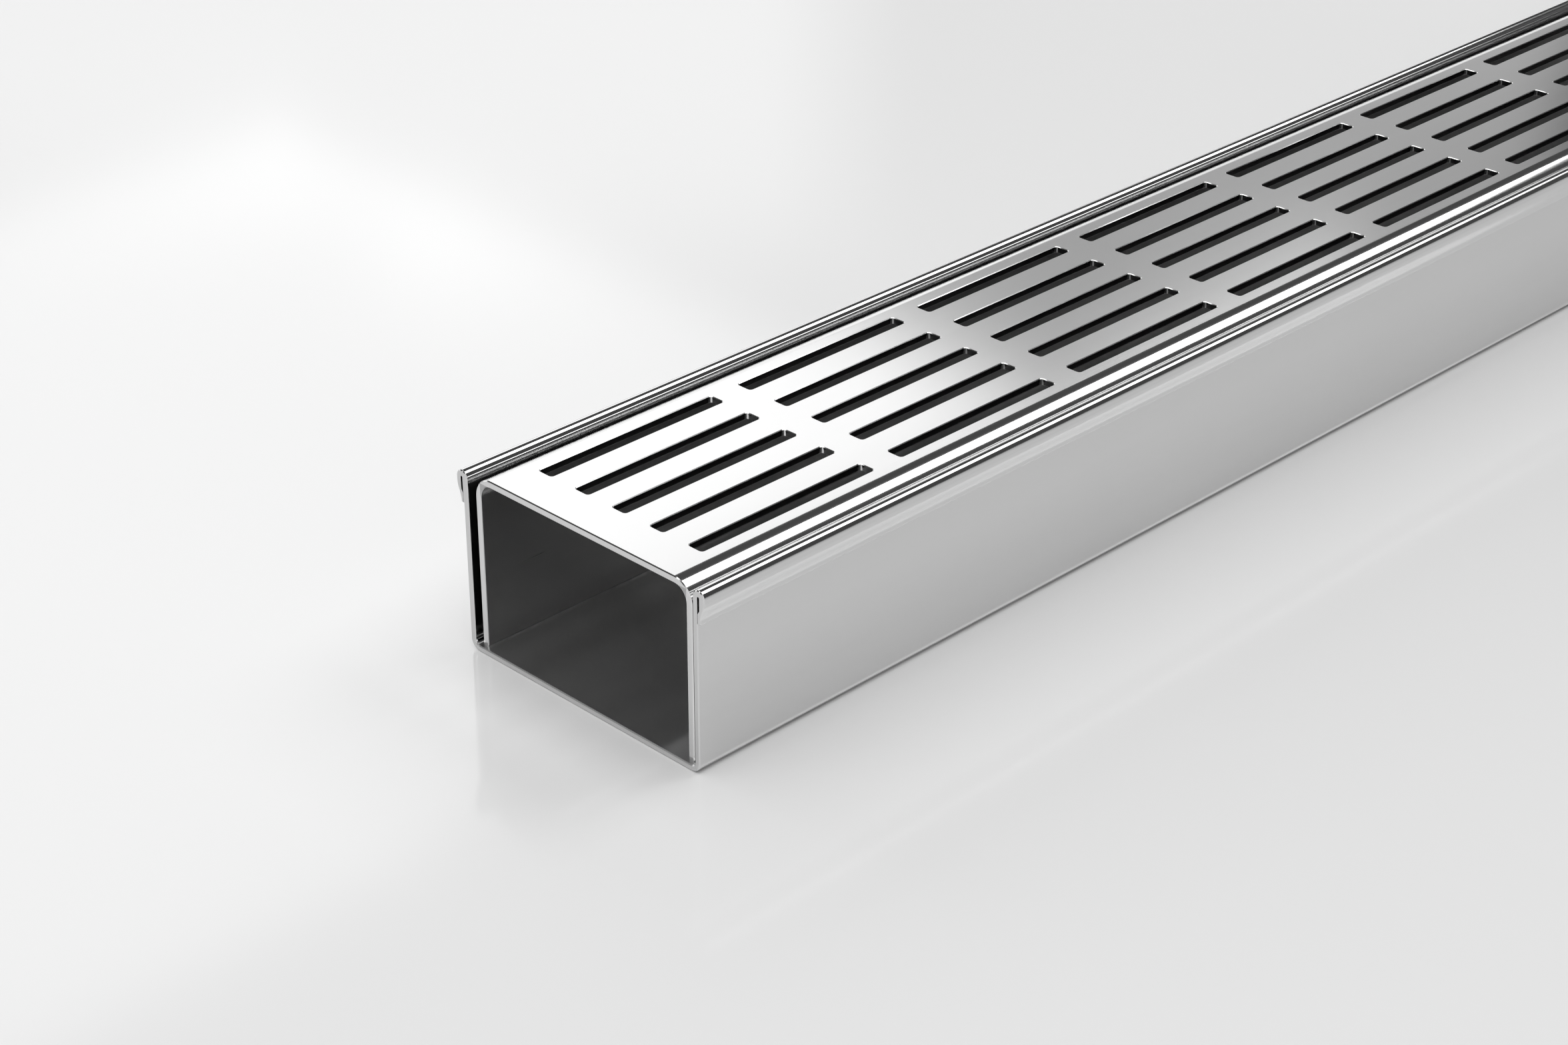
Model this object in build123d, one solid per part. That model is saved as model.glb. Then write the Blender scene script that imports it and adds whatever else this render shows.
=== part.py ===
from build123d import *
import os

# Linear shower drain: a slotted grate standing in a folded channel. Millimetres.
# X runs along the drain, Y across it and Z up. The origin is the middle of the channel's underside.

# channel
channel_length = 900.0
channel_width = 64.0         # over the outsides of the two walls, without the hems
channel_height = 38.6        # from the underside to the top of the hems
channel_sheet = 1.25
channel_bend_radius = 1.0    # inside of the two bottom bends

# hem along each upper edge of the channel, folded outwards and down
hem_height = 7.0
hem_slit = 0.5               # inside width of the fold
hem_upright = 2.3            # from the top of the hem down to where the flange starts to swing in
hem_open = 4.1               # from the top of the hem down to where the slit starts to close
hem_pinch = 0.7              # from there down to where the slit has closed
hem_tip_gap = 0.08           # what is left of the slit from there to the tip of the flange
hem_tip_thickness = 0.67     # the flange is pressed thinner towards its tip
hem_tip_round = 0.3

# outlet hole in the channel's floor
outlet_diameter = 50.0

# grate
grate_sheet = 1.5
grate_bend_radius = 3.0      # inside of the two top bends
grate_foot_clearance = 0.2   # between a leg and the start of the channel's bottom bend
grate_foot_bevel = 0.25      # along both edges of each leg's foot
grate_end_setback = 1.0      # at each end, from the channel's end to the grate's
grate_recess = 0.25          # from the top of the hems down to the top of the grate

# slots in the grate
slot_length = 44.8
slot_width = 3.75
slot_corner_cut = 0.4        # the corners are cut across, close to the small radius of a punch
slot_edge_bevel = 0.15       # round the slot's upper and lower edges
slot_row_pitch = 10.2
slot_end_margin = 9.5        # from the end of the grate to the first slot
slot_bridge_least = 7.0      # least metal between two slots of a row

# small bevel along every cut end
end_bevel = 0.2

# worked out
wall_outside = channel_width / 2
wall_inside = wall_outside - channel_sheet
floor_flat = wall_inside - channel_bend_radius
hem_outside = wall_outside + hem_slit + channel_sheet
hem_centre = (wall_outside + hem_slit / 2, channel_height - hem_slit / 2 - channel_sheet)
hem_tip = channel_height - hem_height
tip_inside = wall_outside + hem_tip_gap
tip_outside = tip_inside + hem_tip_thickness
grate_outside = floor_flat - grate_foot_clearance
grate_top = channel_height - grate_recess
grate_length = channel_length - 2 * grate_end_setback
grate_flat = grate_outside - grate_sheet - grate_bend_radius


def channel_outline():
    """Half of the channel's section, from the middle of its floor to the hem on the +Y side.

    The hem is still solid here: its slit is cut later, so that the slit's edges stay sharp.
    """
    y_hem, z_hem = hem_centre
    z_swing = channel_height - hem_upright
    z_tip = hem_tip + hem_tip_round
    halfway = ((tip_outside + hem_outside) / 2, (z_tip + z_swing) / 2)
    round_top = hem_slit / 2 + channel_sheet
    bend = channel_bend_radius + channel_sheet
    corner = bend * (1 - 0.5**0.5)
    inner_corner = channel_bend_radius * (1 - 0.5**0.5)
    with BuildLine() as outline:
        Line((0, 0), (wall_outside - bend, 0))
        ThreePointArc((wall_outside - bend, 0), (wall_outside - corner, corner), (wall_outside, bend))
        Line((wall_outside, bend), (wall_outside, hem_tip))
        Line((wall_outside, hem_tip), (tip_outside - hem_tip_round, hem_tip))
        TangentArc((tip_outside - hem_tip_round, hem_tip), (tip_outside, z_tip), tangent=(1, 0))
        TangentArc((tip_outside, z_tip), halfway, tangent=(0, 1))
        TangentArc((hem_outside, z_swing), halfway, tangent=(0, -1))
        Line((hem_outside, z_swing), (hem_outside, z_hem))
        ThreePointArc((hem_outside, z_hem), (y_hem, z_hem + round_top), (wall_inside, z_hem))
        Line((wall_inside, z_hem), (wall_inside, channel_sheet + channel_bend_radius))
        ThreePointArc(
            (wall_inside, channel_sheet + channel_bend_radius),
            (wall_inside - inner_corner, channel_sheet + inner_corner),
            (floor_flat, channel_sheet),
        )
        Line((floor_flat, channel_sheet), (0, channel_sheet))
        Line((0, channel_sheet), (0, 0))
    return outline.line


def hem_slits():
    """The cutter for the slits inside the two hems, which close towards the tips of the flanges."""
    y_hem, z_hem = hem_centre
    y_flange = wall_outside + hem_slit
    z_closing = channel_height - hem_open
    below = hem_tip - hem_tip_thickness
    with BuildLine() as outline:
        Line((wall_outside, below), (wall_outside, z_hem))
        ThreePointArc((wall_outside, z_hem), (y_hem, z_hem + hem_slit / 2), (y_flange, z_hem))
        Polyline(
            (y_flange, z_hem),
            (y_flange, z_closing),
            (tip_inside, z_closing - hem_pinch),
            (tip_inside, below),
            (wall_outside, below),
        )
    slit = extrude(Plane.YZ * make_face(outline.line), amount=channel_length, both=True)
    return slit + mirror(slit, about=Plane.XZ)


def both_halves(half_outline, length):
    """Sweeps a half section and its mirror image along the drain."""
    half = make_face(half_outline)
    section = Plane.YZ * (half + mirror(half, about=Plane.YZ))
    return extrude(section, amount=length / 2, both=True)


def bevel_ends(body):
    """Breaks the sharp edges of the two cut ends."""
    ends = body.faces().filter_by(Axis.X).group_by(Axis.X)
    return chamfer(ends[0].edges() + ends[-1].edges(), length=end_bevel)


def make_channel():
    """The outer channel: floor, two walls, a teardrop hem along each upper edge, and the outlet hole."""
    channel = bevel_ends(both_halves(channel_outline(), channel_length))
    return channel - hem_slits() - Cylinder(outlet_diameter / 2, 4 * channel_sheet)


def grate_outline():
    """Half of the grate's section: half of its top and the leg on the +Y side."""
    inside = grate_outside - grate_sheet
    foot = channel_sheet + grate_foot_bevel
    with BuildLine() as outline:
        FilletPolyline(
            (0, grate_top),
            (grate_outside, grate_top),
            (grate_outside, foot),
            radius=grate_bend_radius + grate_sheet,
        )
        Polyline(
            (grate_outside, foot),
            (grate_outside - grate_foot_bevel, channel_sheet),
            (inside + grate_foot_bevel, channel_sheet),
            (inside, foot),
        )
        FilletPolyline(
            (inside, foot),
            (inside, grate_top - grate_sheet),
            (0, grate_top - grate_sheet),
            radius=grate_bend_radius,
        )
        Line((0, grate_top - grate_sheet), (0, grate_top))
    return outline.line


def slot_cutter():
    """One slot: a straight hole through the grate's top, with a bevel round its upper and lower mouth."""
    outline = Rectangle(slot_length, slot_width)
    outline = chamfer(outline.vertices(), length=slot_corner_cut)
    hole = extrude(outline, amount=grate_sheet, both=True)
    mouth = extrude(offset(outline, slot_edge_bevel, kind=Kind.INTERSECTION), amount=2 * slot_edge_bevel)
    mouth = chamfer(mouth.faces().sort_by(Axis.Z)[0].edges(), length=slot_edge_bevel)
    mouth = Pos(Z=grate_sheet / 2 - slot_edge_bevel) * mouth
    return Pos(Z=grate_top - grate_sheet / 2) * (hole + mouth + mirror(mouth, about=Plane.XY))


def make_slots():
    """The cutters for all slots: as many columns and rows as the top has room for, evenly spread."""
    room = grate_length - 2 * slot_end_margin
    columns = int((room + slot_bridge_least) // (slot_length + slot_bridge_least))
    column_pitch = (room - slot_length) / max(columns - 1, 1)
    rows = int((2 * grate_flat - slot_width) // slot_row_pitch) + 1
    return GridLocations(column_pitch, slot_row_pitch, columns, rows) * slot_cutter()


def make_grate():
    """The grate: an inverted U of thicker sheet with its slots, standing on the channel's floor."""
    grate = bevel_ends(both_halves(grate_outline(), grate_length))
    return grate - make_slots()


os.makedirs("parts", exist_ok=True)
export_step(make_channel(), "parts/channel.step")
export_step(make_grate(), "parts/grate.step")
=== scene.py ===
"""A linear shower drain in satin stainless steel, dressed and lit as in its photograph.

Everything is in metres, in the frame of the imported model: X runs along the drain, Y across it, Z up.
"""

import logging
import math
from dataclasses import dataclass, field
from enum import Enum
from typing import Any, Mapping, Sequence, Union

import bmesh
import bpy
from mathutils import Matrix, Vector

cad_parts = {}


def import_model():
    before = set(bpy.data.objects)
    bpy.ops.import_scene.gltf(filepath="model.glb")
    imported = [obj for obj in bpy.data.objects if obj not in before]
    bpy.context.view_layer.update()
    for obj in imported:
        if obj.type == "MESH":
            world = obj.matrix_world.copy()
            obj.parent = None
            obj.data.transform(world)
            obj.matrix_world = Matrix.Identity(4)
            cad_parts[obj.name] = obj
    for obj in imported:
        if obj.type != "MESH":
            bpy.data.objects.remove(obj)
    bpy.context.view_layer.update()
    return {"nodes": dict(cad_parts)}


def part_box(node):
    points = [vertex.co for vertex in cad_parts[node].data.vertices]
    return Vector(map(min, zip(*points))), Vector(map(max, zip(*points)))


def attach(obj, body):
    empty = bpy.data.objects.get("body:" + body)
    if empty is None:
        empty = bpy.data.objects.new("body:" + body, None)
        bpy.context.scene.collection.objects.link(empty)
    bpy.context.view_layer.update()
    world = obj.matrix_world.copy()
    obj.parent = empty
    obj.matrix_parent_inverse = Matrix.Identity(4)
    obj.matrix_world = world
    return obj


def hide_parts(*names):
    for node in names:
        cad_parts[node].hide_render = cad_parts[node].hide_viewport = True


MM = 0.001
FLAT_WALL = "flat_wall"
QUADRANTS = ((1, 1), (-1, 1), (-1, -1), (1, -1))
LOG = logging.getLogger("drain")

Value = Union["Wire", float, int]
Colour = Union["Wire", Sequence[float]]


class Grain(Enum):
    """How a noise is stretched along each axis: along the drain as a brushed sheet is, or evenly."""

    ALONG = (0.02, 1.0, 1.0)
    EVEN = (1.0, 1.0, 1.0)


@dataclass(frozen=True)
class Wire:
    """The output of a shader node, on which sums can be written as Python expressions."""

    graph: "Graph"
    socket: bpy.types.NodeSocket

    def __add__(self, other: Value) -> "Wire":
        """Adds a value or another wire."""
        return self.graph.math("ADD", self, other)

    def __radd__(self, other: Value) -> "Wire":
        """Adds to a plain number."""
        return self.graph.math("ADD", other, self)

    def __sub__(self, other: Value) -> "Wire":
        """Subtracts a value or another wire."""
        return self.graph.math("SUBTRACT", self, other)

    def __rsub__(self, other: Value) -> "Wire":
        """Subtracts from a plain number."""
        return self.graph.math("SUBTRACT", other, self)

    def __mul__(self, other: Value) -> "Wire":
        """Multiplies by a value or another wire."""
        return self.graph.math("MULTIPLY", self, other)

    def __rmul__(self, other: Value) -> "Wire":
        """Multiplies a plain number."""
        return self.graph.math("MULTIPLY", other, self)


class Graph:
    """A node tree that is filled node by node."""

    def __init__(self, tree: bpy.types.NodeTree) -> None:
        """Starts with an empty tree.

        Args:
            tree: The tree of a material, of the world or of a geometry modifier.
        """
        self.tree = tree
        self.tree.nodes.clear()

    def node(
        self,
        kind: str,
        settings: Mapping[str, Any] | None = None,
        sockets: Mapping[Union[str, int], Any] | None = None,
    ) -> bpy.types.Node:
        """Adds a node, sets it up and feeds its inputs.

        Args:
            kind: The node's type name.
            settings: Properties of the node, set before its inputs.
            sockets: A value, a wire or a socket for each named or numbered input.

        Returns:
            The new node.
        """
        made = self.tree.nodes.new(kind)
        for name, value in (settings or {}).items():
            setattr(made, name, value)
        for name, value in (sockets or {}).items():
            self.feed(made.inputs[name], value)
        return made

    def feed(self, target: bpy.types.NodeSocket, value: Any) -> None:
        """Links or sets one input.

        Args:
            target: The input socket.
            value: A wire, an output socket or a plain value.
        """
        if isinstance(value, Wire):
            self.tree.links.new(value.socket, target)
        elif isinstance(value, bpy.types.NodeSocket):
            self.tree.links.new(value, target)
        else:
            target.default_value = value

    def math(self, operation: str, first: Value, second: Value = 0.0) -> Wire:
        """Adds a Math node.

        Args:
            operation: The node's operation.
            first: Its first operand.
            second: Its second operand, where it has one.

        Returns:
            The wire that carries the result.
        """
        made = self.node("ShaderNodeMath", {"operation": operation}, {0: first, 1: second})
        return Wire(self, made.outputs[0])

    def blend(self, factor: Value, first: Colour, second: Colour) -> Wire:
        """Mixes two colours.

        Args:
            factor: 0 for the first colour, 1 for the second.
            first: The first colour, as red, green and blue or as a wire.
            second: The second colour.

        Returns:
            The wire that carries the colour.
        """
        ends = [one if isinstance(one, Wire) else (*one, 1.0) for one in (first, second)]
        made = self.node("ShaderNodeMix", {"data_type": "RGBA"}, {0: factor, 6: ends[0], 7: ends[1]})
        return Wire(self, made.outputs[2])

    def rise(self, value: Value, start: float, end: float) -> Wire:
        """A smooth step.

        Args:
            value: What the step depends on.
            start: Up to here the step is 0.
            end: From here on it is 1.

        Returns:
            The wire that carries the step.
        """
        sockets = {"Value": value, "From Min": start, "From Max": end}
        made = self.node("ShaderNodeMapRange", {"interpolation_type": "SMOOTHSTEP"}, sockets)
        return Wire(self, made.outputs[0])

    def between(self, value: Value, low: float, high: float, soft: float) -> Wire:
        """A smooth window.

        Args:
            value: What the window depends on.
            low: Its lower edge.
            high: Its upper edge.
            soft: Half the width of each edge.

        Returns:
            The wire that is 1 inside the window and 0 outside.
        """
        opened = self.rise(value, low - soft, low + soft)
        return opened * (1 - self.rise(value, high - soft, high + soft))

    def noise(self, scale: float, stretch: Sequence[float], detail: float = 2.0) -> Wire:
        """A noise on the object's own coordinates.

        Args:
            scale: How many features there are in a metre.
            stretch: A factor for each axis, small along the direction that the features follow.
            detail: The number of finer layers.

        Returns:
            The wire that carries the noise, from 0 to 1.
        """
        place = self.node("ShaderNodeTexCoord").outputs["Object"]
        turned = self.node("ShaderNodeMapping", None, {"Vector": place, "Scale": tuple(stretch)})
        sockets = {"Vector": turned.outputs[0], "Scale": scale, "Detail": detail}
        return Wire(self, self.node("ShaderNodeTexNoise", None, sockets).outputs[0])


@dataclass(frozen=True)
class SatinSteel:
    """Stainless sheet with a fine satin brush, rougher on its inner faces, where a factor below 1 also
    darkens its colour as painted shade.

    The inner faces are those nearer to the middle than inner_half and lower than inner_top.
    """

    name: str
    grain: Grain
    inner_half: float
    inner_top: float
    dark: float = 0.71
    light: float = 0.77
    roughness: float = 0.17
    roughness_swing: float = 0.05
    # a factor below 1 darkens the inner faces: painted shade of the recess
    inner_painted_shade: float = 0.62
    inner_roughness: float = 0.28
    line_scale: float = 2600.0
    streak_scale: float = 320.0
    cloud_scale: float = 22.0
    brush_depth: float = 1.2e-6
    inner_border: float = 0.1 * MM

    def material(self) -> bpy.types.Material:
        """Builds the material.

        Returns:
            A metal whose colour, gloss and relief vary with fine lines, broader streaks and faint clouds,
            with painted shade darkening its inner faces.
        """
        made = bpy.data.materials.new(self.name)
        made.use_nodes = True
        graph = Graph(made.node_tree)
        lines = graph.noise(self.line_scale, self.grain.value)
        streaks = graph.noise(self.streak_scale, self.grain.value, 3.0)
        clouds = graph.noise(self.cloud_scale, Grain.EVEN.value, 3.0)
        tone = 0.5 * clouds + 0.3 * streaks + 0.2 * lines
        place = graph.node("ShaderNodeTexCoord").outputs["Object"]
        parts = graph.node("ShaderNodeSeparateXYZ", None, {0: place}).outputs
        across = graph.math("ABSOLUTE", Wire(graph, parts[1]))
        outside = graph.math("MAXIMUM", across - self.inner_half, Wire(graph, parts[2]) - self.inner_top)
        inner = 1 - graph.rise(outside, 0.0, self.inner_border)
        swing = self.roughness_swing * (0.4 * lines + 0.3 * streaks + 0.3 * clouds - 0.5)
        gloss = self.roughness + (self.inner_roughness - self.roughness) * inner + swing
        bright = graph.blend(tone, (self.dark,) * 3, (self.light,) * 3)
        # the darker copy of the colour for the inner faces is painted shade
        painted_shade = graph.blend(tone, (self.inner_painted_shade * self.dark,) * 3, (self.inner_painted_shade * self.light,) * 3)
        colour = graph.blend(inner, bright, painted_shade)
        relief = graph.node("ShaderNodeBump", None, {"Distance": self.brush_depth, "Height": lines})
        metal = graph.node(
            "ShaderNodeBsdfPrincipled",
            None,
            {
                "Base Color": colour,
                "Metallic": 1.0,
                "Roughness": gloss,
                "Normal": relief.outputs[0],
            },
        )
        graph.node("ShaderNodeOutputMaterial", None, {"Surface": metal.outputs[0]})
        return made


@dataclass(frozen=True)
class PaleFloor:
    """A smooth pale floor with a soft gloss.

    The glow starts at glow_start from the middle of the floor and is full at glow_full.
    """

    name: str = "pale_floor"
    shade: float = 0.86
    shade_swing: float = 0.01
    cloud_scale: float = 1.3
    roughness: float = 0.1
    ior: float = 1.58
    glow: float = 0.9
    glow_share: float = 0.9
    glow_start: float = 2.8
    glow_full: float = 7.0

    def material(self) -> bpy.types.Material:
        """Builds the material.

        Returns:
            A pale coating that glows for the camera and in reflections, but only far from the drain.
        """
        made = bpy.data.materials.new(self.name)
        made.use_nodes = True
        graph = Graph(made.node_tree)
        clouds = graph.noise(self.cloud_scale, Grain.EVEN.value)
        low = (self.shade - self.shade_swing,) * 3
        high = (self.shade + self.shade_swing,) * 3
        coat = graph.node(
            "ShaderNodeBsdfPrincipled",
            None,
            {"Base Color": graph.blend(clouds, low, high), "Roughness": self.roughness, "IOR": self.ior},
        )
        glow = graph.node("ShaderNodeEmission", None, {"Color": (self.glow,) * 3 + (1.0,)})
        path = graph.node("ShaderNodeLightPath")
        seen = Wire(graph, path.outputs["Is Camera Ray"]) + Wire(graph, path.outputs["Is Glossy Ray"])
        seen = seen + Wire(graph, path.outputs["Is Transmission Ray"])
        place = graph.node("ShaderNodeTexCoord").outputs["Object"]
        reach = graph.node("ShaderNodeVectorMath", {"operation": "LENGTH"}, {0: place}).outputs["Value"]
        far_off = graph.rise(Wire(graph, reach), self.glow_start, self.glow_full)
        mixed = graph.node(
            "ShaderNodeMixShader",
            None,
            {0: self.glow_share * seen * far_off, 1: coat.outputs[0], 2: glow.outputs[0]},
        )
        graph.node("ShaderNodeOutputMaterial", None, {"Surface": mixed.outputs[0]})
        return made


@dataclass
class DrainChannel:
    """The folded channel, whose shape is right as imported. Its floor is rougher than its walls."""

    node: bpy.types.Object
    finish: SatinSteel = SatinSteel(
        "channel_steel",
        Grain.ALONG,
        30.9 * MM,
        1.6 * MM,
        dark=0.65,
        light=0.7,
        roughness=0.1,
        inner_painted_shade=1.0,
        inner_roughness=0.3,
    )

    def build(self) -> None:
        """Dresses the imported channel."""
        self.node.data.materials.clear()
        self.node.data.materials.append(self.finish.material())


@dataclass
class SlottedGrate:
    """The folded grate with its rows of slots."""

    low: Vector
    high: Vector
    # the grate's inner faces are painted 62% as light as the rest: painted shade
    finish: SatinSteel = SatinSteel("grate_steel", Grain.ALONG, 28.1 * MM, 36.9 * MM, roughness=0.12)
    # near-black steel on the flat slot walls is painted shade, for the dark that the walls mirror
    wall_painted_shade: SatinSteel = SatinSteel("slot_wall_painted_shade", Grain.ALONG, 0.0, 0.0, dark=0.1, light=0.16)
    sheet: float = 1.5 * MM
    bend_radius: float = 3.0 * MM
    foot_bevel: float = 0.25 * MM
    end_bevel: float = 0.2 * MM
    slot_length: float = 44.8 * MM
    slot_width: float = 3.75 * MM
    slot_corner: float = 0.6 * MM
    slot_bevel: float = 0.15 * MM
    row_pitch: float = 10.2 * MM
    end_margin: float = 9.5 * MM
    bridge_least: float = 7.0 * MM
    bend_steps: int = 16
    bend_margin: float = 0.1 * MM
    corner_steps: int = 4
    weld_distance: float = 0.01 * MM
    crease: float = math.radians(28)
    columns: int = field(init=False)
    rows: int = field(init=False)
    column_pitch: float = field(init=False)
    rim: float = field(init=False)

    def __post_init__(self) -> None:
        """Works out how many slots there is room for, and the rim of metal that goes with each slot."""
        room = self.high.x - self.low.x - 2 * self.end_margin
        self.columns = int((room + self.bridge_least) // (self.slot_length + self.bridge_least))
        self.column_pitch = (room - self.slot_length) / (self.columns - 1)
        flat = self.high.y - self.sheet - self.bend_radius
        self.rows = int((2 * flat - self.slot_width) // self.row_pitch) + 1
        self.rim = flat - self.bend_margin - (self.rows - 1) * self.row_pitch / 2 - self.slot_width / 2

    def places(self, count: int, pitch: float) -> list[float]:
        """The middles of a centred row of slots.

        Args:
            count: The number of slots.
            pitch: The distance from one slot to the next.

        Returns:
            The coordinate of each middle.
        """
        return [(i - (count - 1) / 2) * pitch for i in range(count)]

    def windows(self, count: int, pitch: float, slot: float) -> list[float]:
        """The borders of the windows that the slots and their rims fill.

        Args:
            count: The number of windows in a row.
            pitch: The distance from one window to the next.
            slot: The size of a slot in that direction.

        Returns:
            The two borders of each window, in rising order.
        """
        half = slot / 2 + self.rim
        return [middle + side * half for middle in self.places(count, pitch) for side in (-1, 1)]

    def section(self) -> list[tuple[Vector, Vector]]:
        """The folded section, from the foot at -Y over the top to the foot at +Y.

        Returns:
            Pairs of points, on the outer and on the inner face of the sheet, in the YZ plane.
        """
        outside = self.high.y
        top = self.high.z
        foot = self.low.z
        bevel = self.foot_bevel
        reach = self.sheet + self.bend_radius
        centre = Vector((0, outside - reach, top - reach))
        below = Vector((0, 0, -self.bend_margin))
        beside = Vector((0, -self.bend_margin, 0))
        half = [
            (Vector((0, outside - bevel, foot)), Vector((0, outside - self.sheet + bevel, foot))),
            (Vector((0, outside, foot + bevel)), Vector((0, outside - self.sheet, foot + bevel))),
        ]
        for step in range(self.bend_steps + 1):
            angle = step / self.bend_steps * math.pi / 2
            ray = Vector((0, math.cos(angle), math.sin(angle)))
            half.append((centre + ray * reach, centre + ray * self.bend_radius))
        half.insert(2, tuple(point + below for point in half[2]))
        half.append(tuple(point + beside for point in half[-1]))
        inner = self.windows(self.rows, self.row_pitch, self.slot_width)[1:-1]
        flat = [(Vector((0, y, top)), Vector((0, y, top - self.sheet))) for y in inner]
        other = [(self.mirrored(a), self.mirrored(b)) for a, b in half]
        return other + flat + half[::-1]

    @staticmethod
    def mirrored(point: Vector) -> Vector:
        """The point on the other side of the drain."""
        return Vector((point.x, -point.y, point.z))

    def folded_sheet(self) -> bpy.types.Mesh:
        """The folded sheet with bevelled ends and an open window for each slot and its rim.

        Returns:
            The mesh, with its windows open between the outer and the inner face.
        """
        pairs = self.section()
        bevel = self.end_bevel
        borders = self.windows(self.columns, self.column_pitch, self.slot_length)
        stations = [self.low.x, self.low.x + bevel, *borders, self.high.x - bevel, self.high.x]
        edges = self.windows(self.rows, self.row_pitch, self.slot_width)
        grid = bmesh.new()
        insets = [bevel, *(0.0 for _ in stations[1:-1]), bevel]
        rings = [self.ring(grid, pairs, x, inset) for x, inset in zip(stations, insets)]
        last = len(pairs) - 1
        for i in range(len(stations) - 1):
            # after the bevelled end and the margin, every second strip is a column of windows
            window_column = 2 <= i < len(stations) - 3 and i % 2 == 0
            for j in range(last):
                near = pairs[j][0].y
                far = pairs[j + 1][0].y
                window_row = self.is_window(near, far, edges)
                if not (window_column and window_row):
                    here, there = rings[i], rings[i + 1]
                    self.face(grid, [here[j][0], there[j][0], there[j + 1][0], here[j + 1][0]])
                    self.face(grid, [here[j][1], here[j + 1][1], there[j + 1][1], there[j][1]])
            for j in (0, last):
                self.face(grid, [rings[i][j][0], rings[i][j][1], rings[i + 1][j][1], rings[i + 1][j][0]])
        for ring in (rings[0], rings[-1]):
            for j in range(last):
                self.face(grid, [ring[j][0], ring[j + 1][0], ring[j + 1][1], ring[j][1]])
        mesh = bpy.data.meshes.new("folded_sheet")
        grid.to_mesh(mesh)
        grid.free()
        return mesh

    @staticmethod
    def is_window(near: float, far: float, edges: Sequence[float]) -> bool:
        """Whether a strip of the section lies in a row of windows.

        Args:
            near: One border of the strip.
            far: Its other border.
            edges: The borders of the rows of windows, in rising order.

        Returns:
            True if the strip fills a row of windows.
        """
        middle = (near + far) / 2
        return any(edges[k] < middle < edges[k + 1] for k in range(0, len(edges), 2))

    @staticmethod
    def face(grid: bmesh.types.BMesh, corners: Sequence[bmesh.types.BMVert]) -> bmesh.types.BMFace:
        """Adds one face and gives it back."""
        return grid.faces.new(corners)

    @staticmethod
    def ring(
        grid: bmesh.types.BMesh, pairs: Sequence[tuple[Vector, Vector]], x: float, inset: float
    ) -> list[tuple[bmesh.types.BMVert, bmesh.types.BMVert]]:
        """Places the section at one station along the drain.

        Args:
            grid: The mesh under construction.
            pairs: The section.
            x: The station.
            inset: How far each face of the sheet steps in there, for the bevel of a cut end.

        Returns:
            The vertices, in pairs.
        """
        made = []
        for outer, inner in pairs:
            step = (inner - outer).normalized() * inset
            shift = Vector((x, 0, 0))
            made.append((grid.verts.new(outer + step + shift), grid.verts.new(inner - step + shift)))
        return made

    def slot_outline(self, grow: float) -> list[Vector]:
        """The outline of a slot with small round corners.

        Args:
            grow: How far the outline stands outside the slot's wall.

        Returns:
            The points, anticlockwise from above, the same number for each corner.
        """
        radius = self.slot_corner + grow
        long = self.slot_length / 2 - self.slot_corner
        wide = self.slot_width / 2 - self.slot_corner
        points = []
        for quarter, (sx, sy) in enumerate(QUADRANTS):
            for step in range(self.corner_steps + 1):
                angle = (quarter + step / self.corner_steps) * math.pi / 2
                ray = Vector((math.cos(angle), math.sin(angle), 0))
                points.append(Vector((sx * long, sy * wide, 0)) + radius * ray)
        return points

    def slot_tile(self) -> bpy.types.Mesh:
        """One slot with its walls, its bevelled edges and its rim.

        Returns:
            The mesh, centred over the origin at the height of the grate's top.
        """
        top = self.high.z
        bottom = top - self.sheet
        bevel = self.slot_bevel
        levels = ((bevel, top), (0.0, top - bevel), (0.0, bottom + bevel), (bevel, bottom))
        tile = bmesh.new()
        marked = tile.faces.layers.bool.new(FLAT_WALL)
        share = self.corner_steps + 1
        loops = [
            [tile.verts.new(point + Vector((0, 0, height))) for point in self.slot_outline(grow)]
            for grow, height in levels
        ]
        count = len(loops[0])
        for level, (upper, lower) in enumerate(zip(loops, loops[1:])):
            for i in range(count):
                wall = self.face(tile, [upper[i], upper[(i + 1) % count], lower[(i + 1) % count], lower[i]])
                # between the two bevels, the face after each round corner is a flat wall
                wall[marked] = level == 1 and (i + 1) % share == 0
        half = Vector((self.slot_length / 2 + self.rim, self.slot_width / 2 + self.rim))
        middle = self.corner_steps // 2
        for loop, height, up in ((loops[0], top, True), (loops[-1], bottom, False)):
            outer = [tile.verts.new((sx * half.x, sy * half.y, height)) for sx, sy in QUADRANTS]
            for k in range(len(outer)):
                start = k * share + middle
                run = [loop[(start + i) % count] for i in range(share + 1)]
                corners = [outer[k], outer[(k + 1) % len(outer)], *run[::-1]]
                self.face(tile, corners if up else corners[::-1])
        mesh = bpy.data.meshes.new("slot_tile")
        tile.to_mesh(mesh)
        tile.free()
        return mesh

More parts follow.
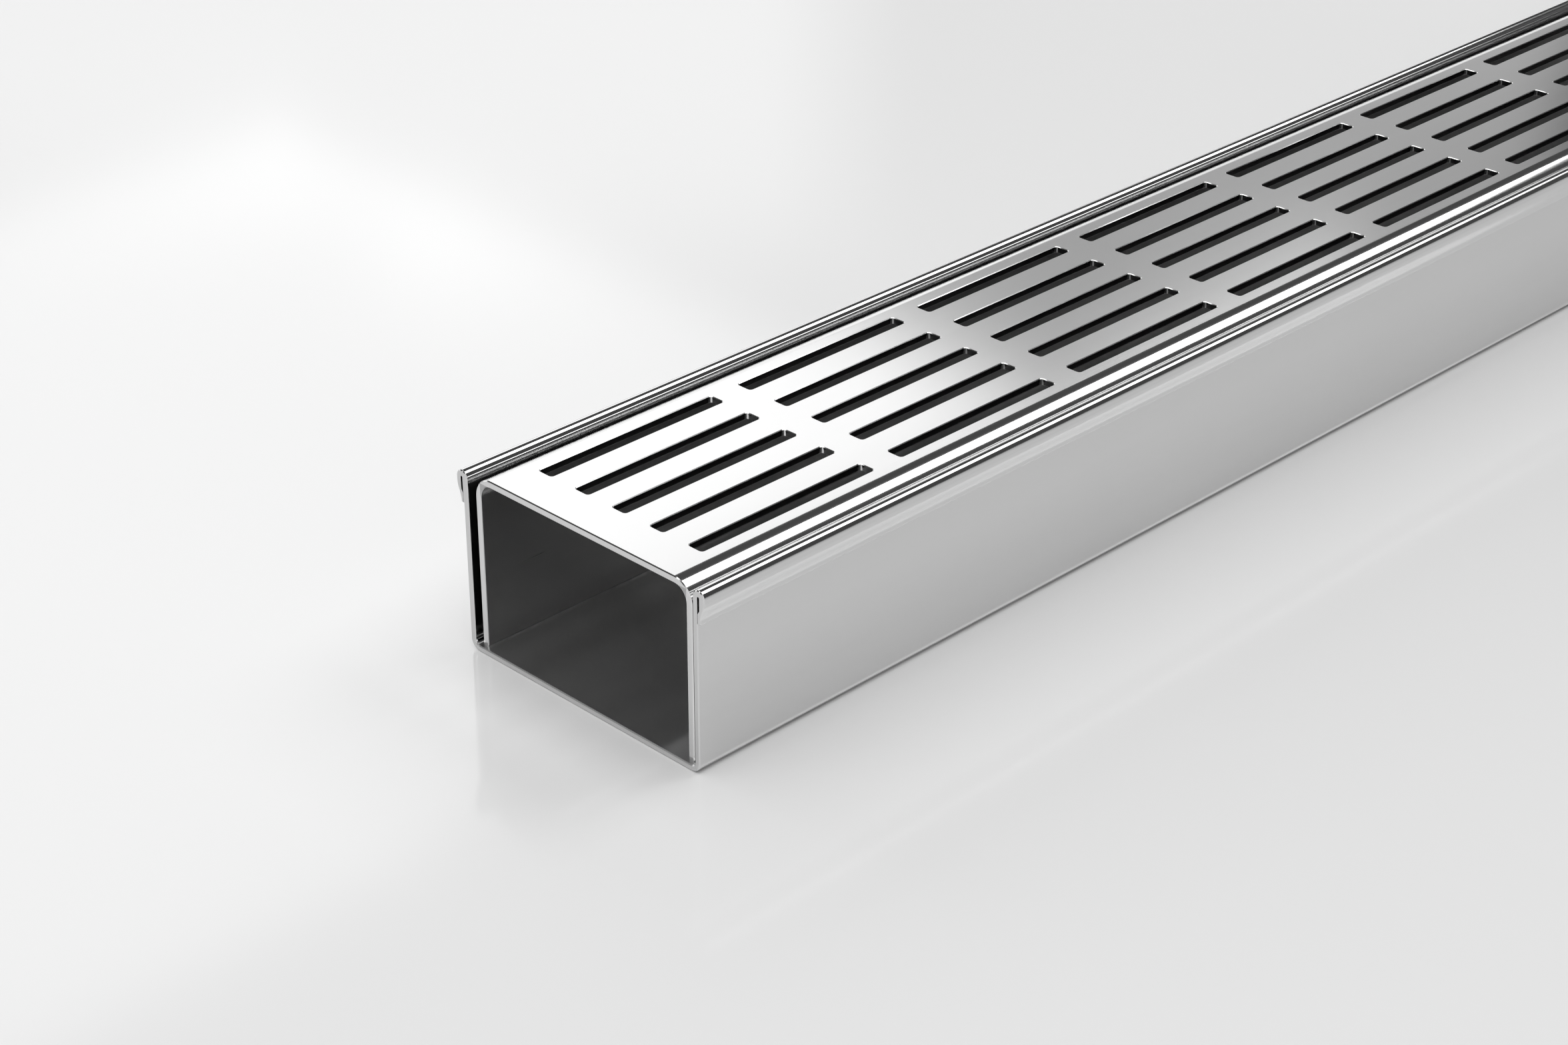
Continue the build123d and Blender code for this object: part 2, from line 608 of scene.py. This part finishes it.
    def field_tree(self) -> bpy.types.NodeTree:
        """The geometry nodes that fill the windows of a sheet with tiles.

        Returns:
            A tree with inputs for the tile, the counts, the pitches, the weld distance, the steel and the
            near-black steel of the slot walls, which is painted shade.
        """
        tree = bpy.data.node_groups.new("slot_field", "GeometryNodeTree")
        tree.interface.new_socket("Sheet", in_out="INPUT", socket_type="NodeSocketGeometry")
        for name, kind in (
            ("Tile", "NodeSocketObject"),
            ("Columns", "NodeSocketInt"),
            ("Rows", "NodeSocketInt"),
            ("Column Pitch", "NodeSocketFloat"),
            ("Row Pitch", "NodeSocketFloat"),
            ("Weld Distance", "NodeSocketFloat"),
            ("Steel", "NodeSocketMaterial"),
            ("Wall Painted Shade", "NodeSocketMaterial"),
        ):
            tree.interface.new_socket(name, in_out="INPUT", socket_type=kind)
        tree.interface.new_socket("Grate", in_out="OUTPUT", socket_type="NodeSocketGeometry")
        graph = Graph(tree)
        given = graph.node("NodeGroupInput").outputs
        span_x = Wire(graph, given["Column Pitch"]) * (Wire(graph, given["Columns"]) - 1)
        span_y = Wire(graph, given["Row Pitch"]) * (Wire(graph, given["Rows"]) - 1)
        points = graph.node(
            "GeometryNodeMeshGrid",
            None,
            {"Size X": span_x, "Size Y": span_y, "Vertices X": given["Columns"], "Vertices Y": given["Rows"]},
        )
        tile = graph.node("GeometryNodeObjectInfo", None, {"Object": given["Tile"]})
        copies = graph.node(
            "GeometryNodeInstanceOnPoints",
            None,
            {"Points": points.outputs["Mesh"], "Instance": tile.outputs["Geometry"]},
        )
        joined = graph.node("GeometryNodeJoinGeometry")
        graph.feed(joined.inputs[0], copies.outputs[0])
        graph.feed(joined.inputs[0], given["Sheet"])
        real = graph.node("GeometryNodeRealizeInstances", None, {"Geometry": joined.outputs[0]})
        welded = graph.node(
            "GeometryNodeMergeByDistance",
            None,
            {"Geometry": real.outputs[0], "Distance": given["Weld Distance"]},
        )
        dressed = graph.node(
            "GeometryNodeSetMaterial",
            None,
            {"Geometry": welded.outputs[0], "Material": given["Steel"]},
        )
        # the flat slot walls get the near-black material: painted shade
        walls = graph.node("GeometryNodeInputNamedAttribute", {"data_type": "BOOLEAN"}, {"Name": FLAT_WALL})
        finished = graph.node(
            "GeometryNodeSetMaterial",
            None,
            {"Geometry": dressed.outputs[0], "Selection": walls.outputs[0], "Material": given["Wall Painted Shade"]},
        )
        graph.node("NodeGroupOutput", None, {"Grate": finished.outputs[0]})
        return tree

    def build(self) -> bpy.types.Object:
        """Builds the grate as one plain mesh.

        Returns:
            The grate's object.
        """
        tile = bpy.data.objects.new("slot_tile", self.slot_tile())
        tree = self.field_tree()
        holder = bpy.data.objects.new("folded_sheet", self.folded_sheet())
        bpy.context.scene.collection.objects.link(holder)
        modifier = holder.modifiers.new("slots", "NODES")
        modifier.node_group = tree
        given = {
            "Tile": tile,
            "Columns": self.columns,
            "Rows": self.rows,
            "Column Pitch": self.column_pitch,
            "Row Pitch": self.row_pitch,
            "Weld Distance": self.weld_distance,
            "Steel": self.finish.material(),
            "Wall Painted Shade": self.wall_painted_shade.material(),
        }
        for item in tree.interface.items_tree:
            if item.name in given:
                modifier[item.identifier] = given[item.name]
        graph = bpy.context.evaluated_depsgraph_get()
        mesh = bpy.data.meshes.new_from_object(holder.evaluated_get(graph))
        mesh.name = "slotted_grate"
        bpy.data.objects.remove(holder)
        bpy.data.objects.remove(tile)
        self.finish_mesh(mesh)
        grate = bpy.data.objects.new("slotted_grate", mesh)
        bpy.context.scene.collection.objects.link(grate)
        return grate

    def finish_mesh(self, mesh: bpy.types.Mesh) -> None:
        """Turns all faces outwards and shades the bends smooth.

        Args:
            mesh: The finished mesh.
        """
        shape = bmesh.new()
        shape.from_mesh(mesh)
        bmesh.ops.recalc_face_normals(shape, faces=shape.faces)
        shape.to_mesh(mesh)
        shape.free()
        mesh.shade_smooth()
        mesh.set_sharp_from_angle(angle=self.crease)


@dataclass(frozen=True)
class Softbox:
    """A large rectangular lamp that lies level over the drain."""

    name: str
    left: float
    right: float
    near: float
    far: float
    height: float
    radiance: float

    def build(self) -> None:
        """Hangs the lamp with its edges along and across the drain."""
        wide = self.right - self.left
        deep = self.far - self.near
        lamp = bpy.data.lights.new(self.name, "AREA")
        lamp.shape = "RECTANGLE"
        lamp.size = wide
        lamp.size_y = deep
        lamp.energy = self.radiance * math.pi * wide * deep
        holder = bpy.data.objects.new(self.name, lamp)
        holder.location = ((self.left + self.right) / 2, (self.near + self.far) / 2, self.height)
        bpy.context.scene.collection.objects.link(holder)


@dataclass(frozen=True)
class LightField:
    """A field of light in the surroundings, between two bearings and two elevations in degrees.

    Bearings count from +X towards +Y.
    """

    first: float
    last: float
    low: float
    high: float
    radiance: float
    soft: float = 1.0


@dataclass(frozen=True)
class Studio:
    """The floor, the lamps, the surroundings and the camera.

    Seen from the photograph's viewpoint in the floor, the first two fields end about where the far
    edge of softbox_back begins, so that the floor mirrors them as one.
    """

    floor_half: float = 30.0
    floor_drop: float = 0.02 * MM
    surround: float = 0.07
    fields: tuple[LightField, ...] = (
        LightField(53.0, 170.0, -20.0, 22.2, 1.15, 1.5),
        LightField(44.0, 53.0, -20.0, 23.8, 1.15, 1.5),
        LightField(30.0, 44.0, 17.0, 26.0, 0.45, 1.0),
        LightField(-30.0, 44.0, -20.0, 17.0, 1.0, 2.0),
        LightField(-170.0, -70.0, -20.0, 35.0, 0.8, 6.0),
    )
    camera_place: tuple[float, float, float] = (-0.76976, -0.37368, 0.30714)
    camera_ahead: tuple[float, float, float] = (0.6205, 0.6212, -0.4787)
    lens: float = 70.80
    sensor: float = 36.0
    softboxes: tuple[Softbox, ...] = (
        Softbox("softbox_over", 0.55, 1.95, -1.0, 0.1, 1.56, 3.0),
        Softbox("softbox_back", -1.0, 2.02, 1.8, 3.6, 1.56, 1.32),
        Softbox("softbox_edge", 2.02, 2.6, 1.8, 1.93, 1.56, 1.3),
        Softbox("softbox_left", -1.9, 0.2, -1.2, 1.1, 1.56, 1.65),
    )

    def build(self) -> None:
        """Builds the whole studio."""
        self.build_floor()
        self.build_surround()
        self.build_camera()
        for softbox in self.softboxes:
            softbox.build()

    def build_floor(self) -> None:
        """Lays a wide floor just under the drain."""
        sheet = bmesh.new()
        bmesh.ops.create_grid(sheet, x_segments=4, y_segments=4, size=self.floor_half)
        bmesh.ops.translate(sheet, verts=sheet.verts, vec=(0, 0, -self.floor_drop))
        mesh = bpy.data.meshes.new("floor")
        sheet.to_mesh(mesh)
        sheet.free()
        mesh.materials.append(PaleFloor().material())
        floor = bpy.data.objects.new("floor", mesh)
        bpy.context.scene.collection.objects.link(floor)

    def build_surround(self) -> None:
        """Sets the dim surroundings of the studio, with the light fields that the steel mirrors."""
        world = bpy.data.worlds.new("studio")
        world.use_nodes = True
        graph = Graph(world.node_tree)
        way = graph.node("ShaderNodeTexCoord").outputs["Generated"]
        parts = graph.node("ShaderNodeSeparateXYZ", None, {0: way}).outputs
        x, y, z = (Wire(graph, part) for part in parts)
        bearing = graph.math("ARCTAN2", y, x) * math.degrees(1)
        elevation = graph.math("ARCSINE", z) * math.degrees(1)
        shade = self.surround
        for one in self.fields:
            inside = graph.between(bearing, one.first, one.last, one.soft)
            inside = inside * graph.between(elevation, one.low, one.high, one.soft)
            shade = shade + (one.radiance - self.surround) * inside
        glow = graph.node("ShaderNodeBackground", None, {"Color": shade, "Strength": 1.0})
        graph.node("ShaderNodeOutputWorld", None, {"Surface": glow.outputs[0]})
        bpy.context.scene.world = world

    def build_camera(self) -> None:
        """Places the camera at the photograph's viewpoint."""
        ahead = Vector(self.camera_ahead).normalized()
        right = ahead.cross(Vector((0, 0, 1))).normalized()
        above = right.cross(ahead)
        turn = Matrix((right, above, -ahead)).transposed().to_4x4()
        data = bpy.data.cameras.new("photo_camera")
        data.lens = self.lens
        data.sensor_width = self.sensor
        data.clip_start = 0.01
        data.clip_end = 100.0
        camera = bpy.data.objects.new("photo_camera", data)
        camera.matrix_world = Matrix.Translation(self.camera_place) @ turn
        bpy.context.scene.collection.objects.link(camera)
        bpy.context.scene.camera = camera


def main() -> None:
    """Builds the dressed drain and its studio."""
    logging.basicConfig(level=logging.INFO, format="%(name)s: %(message)s")
    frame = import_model()
    bpy.context.scene.view_settings.view_transform = "Standard"

    channel = frame["nodes"]["channel"]
    DrainChannel(channel).build()
    LOG.info("channel dressed, %d faces", len(channel.data.polygons))

    grate = SlottedGrate(*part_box("grate")).build()
    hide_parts("grate")
    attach(grate, "root")
    LOG.info("%s built, %d faces", grate.name, len(grate.data.polygons))

    Studio().build()
    LOG.info("studio built")


if __name__ == "__main__":
    main()
